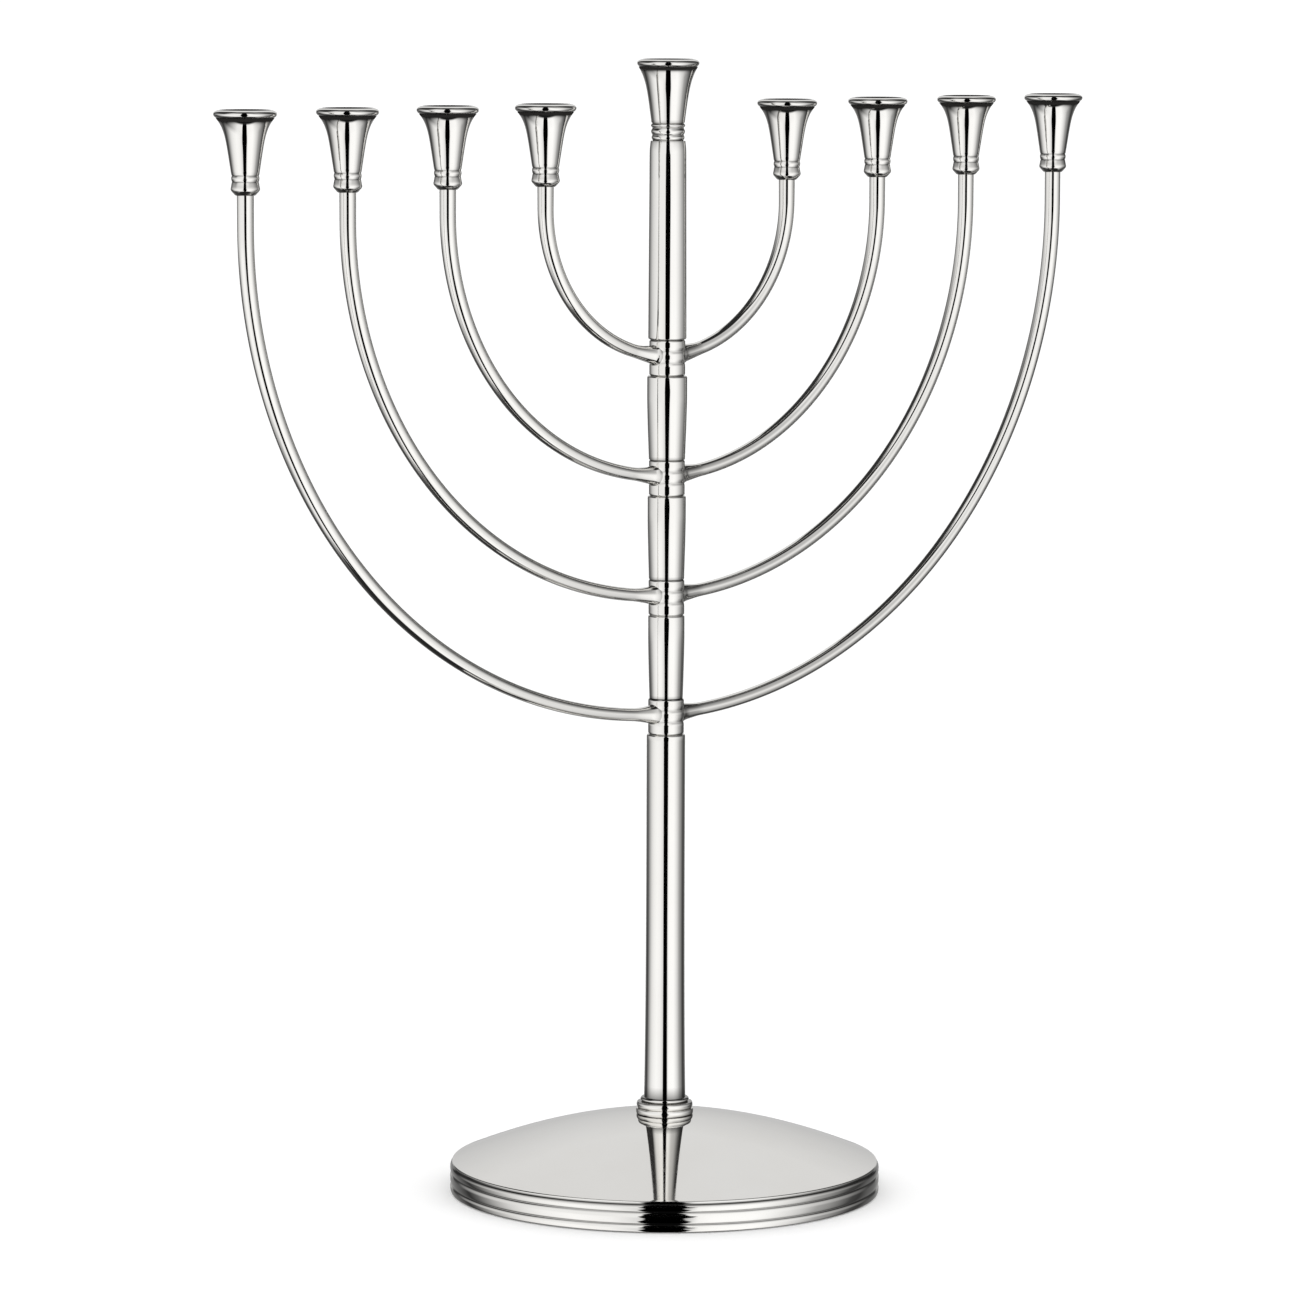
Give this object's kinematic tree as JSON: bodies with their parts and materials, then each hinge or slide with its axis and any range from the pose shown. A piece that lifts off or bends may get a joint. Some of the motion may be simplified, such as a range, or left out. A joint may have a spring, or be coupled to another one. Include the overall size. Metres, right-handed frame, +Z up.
{
  "type": "menorah",
  "caption": "Menorah: slim turned stem on a domed round base with a reeded edge, and concentric curved branches rising to a level row of flared candle cups beside a taller centre cup",
  "frame": {"origin": "centre of the underside of the base, on the surface it stands on", "axes": "+Z up the stem; +X along the row of branches, towards the branches named right; +Y towards the back, square to the row"},
  "size_m": [0.3542, 0.1444, 0.38],
  "materials": {
    "polished_silver": "mirror-polished silver plate on turned, bent and spun metal",
    "plain_steel": "bright zinc-plated steel",
    "cast_iron": "rough grey casting",
    "felt": "dark pressed wool felt"
  },
  "bodies": {
    "root": {"felt_pad": "felt", "base_plate": "plain_steel", "base_weight": "cast_iron", "clamp_washer": "plain_steel", "clamp_nut": "plain_steel", "tie_rod": "plain_steel", "base_rim": "polished_silver", "base_dome": "polished_silver", "foot_collar": "polished_silver", "lower_stem": "polished_silver", "knot_4": "polished_silver", "stem_length_3": "polished_silver", "knot_3": "polished_silver", "stem_length_2": "polished_silver", "knot_2": "polished_silver", "stem_length_1": "polished_silver", "knot_1": "polished_silver", "upper_stem": "polished_silver", "centre_cup": "polished_silver", "branch_left_1": "polished_silver", "branch_left_2": "polished_silver", "branch_left_3": "polished_silver", "branch_left_4": "polished_silver", "branch_right_1": "polished_silver", "branch_right_2": "polished_silver", "branch_right_3": "polished_silver", "branch_right_4": "polished_silver", "cup_left_1": "polished_silver", "cup_left_2": "polished_silver", "cup_left_3": "polished_silver", "cup_left_4": "polished_silver", "cup_right_1": "polished_silver", "cup_right_2": "polished_silver", "cup_right_3": "polished_silver", "cup_right_4": "polished_silver"}
  },
  "joints": []
}
